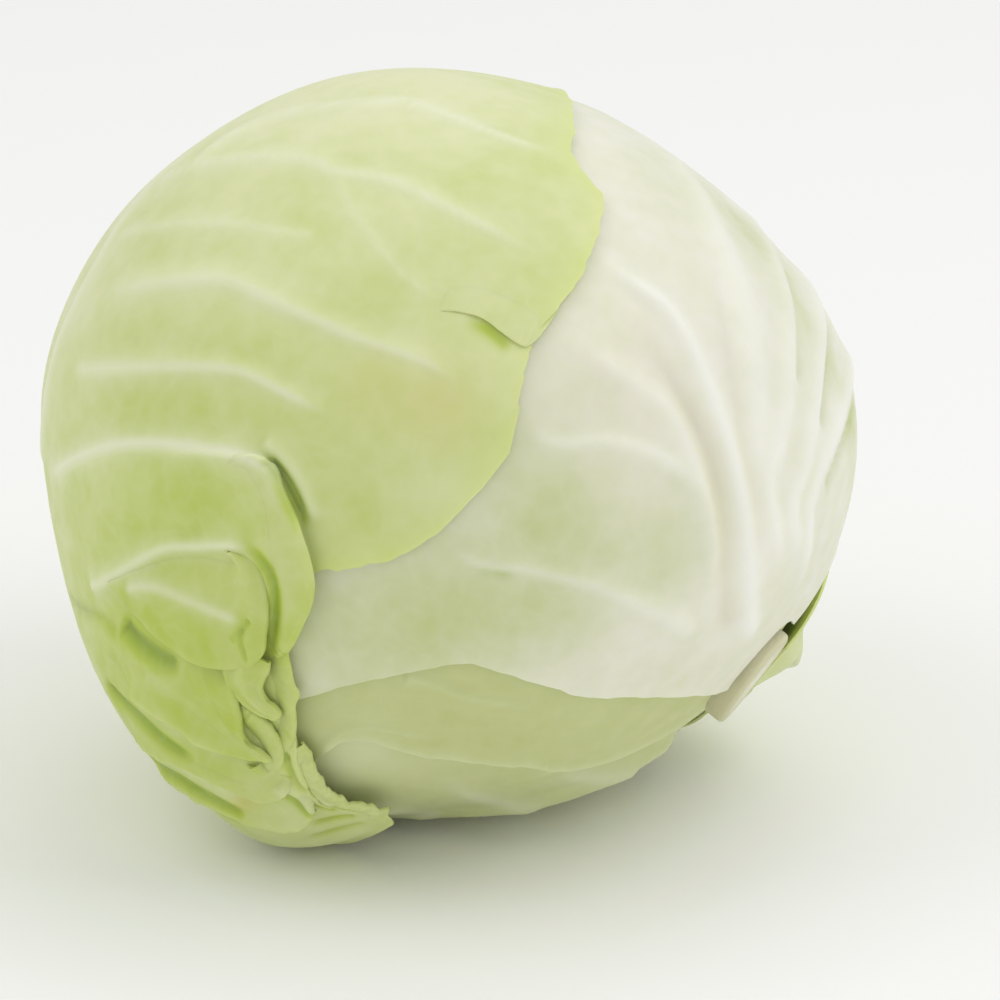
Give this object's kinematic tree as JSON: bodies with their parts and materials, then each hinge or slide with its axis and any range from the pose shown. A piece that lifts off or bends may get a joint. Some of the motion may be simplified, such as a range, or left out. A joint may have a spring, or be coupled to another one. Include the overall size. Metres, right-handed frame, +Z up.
{
  "type": "green cabbage",
  "caption": "Whole green cabbage head lying on its side, with wrapped ribbed leaves, a crumpled outer leaf and a cut stalk stump.",
  "frame": {"origin": "on the surface the head lies on, in its flat spot, straight under the middle of the head", "axes": "+Z up, -Y towards the side with the crumpled leaf corner and the leaf margins, +X towards the side where the cut stalk is"},
  "size_m": [0.2001, 0.1908, 0.1817],
  "materials": {
    "heart": "packed pale leaf, satin",
    "stalk": "cut white flesh, slightly dried",
    "pale_leaf": "waxy pale green leaf, satin",
    "outer_leaf": "waxy yellow-green leaf, satin"
  },
  "bodies": {
    "root": {"heart": "heart", "stalk": "stalk", "bottom_leaf": "pale_leaf", "back_leaf": "pale_leaf", "low_leaf": "pale_leaf", "right_leaf": "pale_leaf", "left_leaf": "outer_leaf"}
  },
  "joints": []
}
